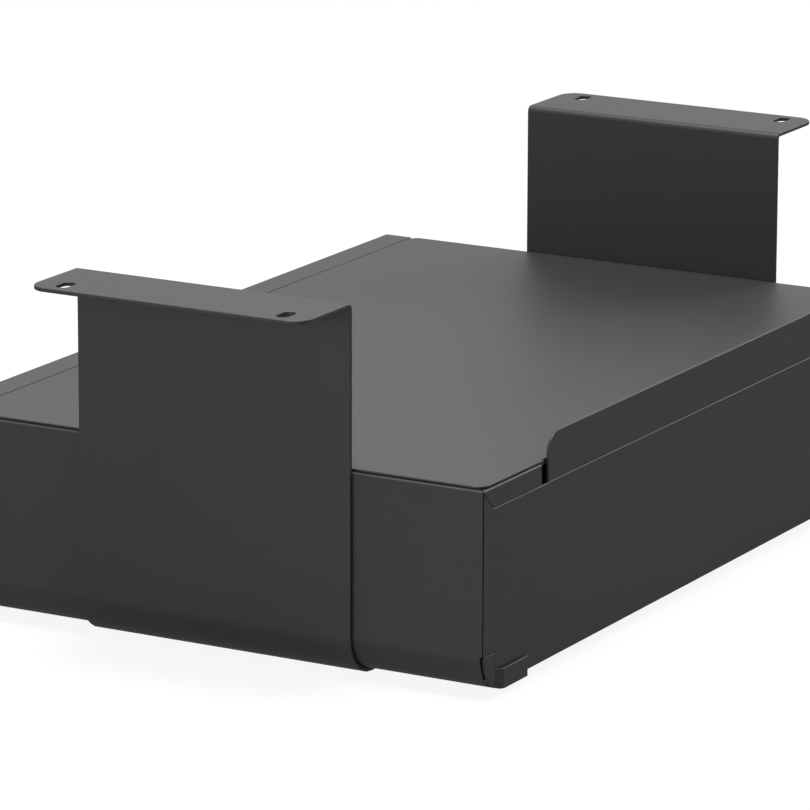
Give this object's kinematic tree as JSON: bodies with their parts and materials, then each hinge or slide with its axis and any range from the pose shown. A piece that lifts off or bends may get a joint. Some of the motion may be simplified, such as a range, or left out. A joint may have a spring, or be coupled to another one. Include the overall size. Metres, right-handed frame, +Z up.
{
  "type": "under-desk cable tray",
  "caption": "Lidded sheet-steel cable tray hung under a desk by a folded strap, with a lift-off lid and a tilting access flap that has a finger lip.",
  "frame": {"origin": "centre of the outline on the flat underside of the hanger strap", "axes": "+Z up to the desk, +Y along the tray from the near end wall to the far one, +X from the cable-inlet wall to the access flap"},
  "size_m": [0.4136, 0.7236, 0.2436],
  "materials": {
    "powder_coat": "anthracite satin powder coat with a fine grain",
    "zinc_plate": "bright zinc plating",
    "rubber": "matt black rubber",
    "magnet_housing": "fine-textured black plastic"
  },
  "bodies": {
    "tray": {"hanger_strap": "powder_coat", "tray_shell": "powder_coat", "inlet_wall": "powder_coat", "rim_rail": "powder_coat", "lid_stop_strip": "powder_coat", "inlet_grommet_near": "rubber", "inlet_grommet_middle": "rubber", "inlet_grommet_far": "rubber", "hanger_stud_1": "zinc_plate", "hanger_washer_1": "zinc_plate", "hanger_nut_1": "zinc_plate", "hanger_stud_2": "zinc_plate", "hanger_washer_2": "zinc_plate", "hanger_nut_2": "zinc_plate", "hanger_stud_3": "zinc_plate", "hanger_washer_3": "zinc_plate", "hanger_nut_3": "zinc_plate", "hanger_stud_4": "zinc_plate", "hanger_washer_4": "zinc_plate", "hanger_nut_4": "zinc_plate", "magnet_catch_near": "magnet_housing", "magnet_pole_plate_near": "zinc_plate", "magnet_catch_far": "magnet_housing", "magnet_pole_plate_far": "zinc_plate", "earth_stud": "zinc_plate", "earth_washer": "zinc_plate", "earth_nut": "zinc_plate"},
    "lid": {"lid_panel": "powder_coat"},
    "flap": {"access_flap": "powder_coat"}
  },
  "joints": [
    {"name": "lid_lift", "type": "slide", "parent": "tray", "child": "lid", "axis": [0, 0, 1], "range_m": [0, 0.09]},
    {"name": "flap_tilt", "type": "hinge", "parent": "tray", "child": "flap", "pos_m": [0.2047, 0, 0.0164], "axis": [0, 1, 0], "range_deg": [0, 12]}
  ]
}
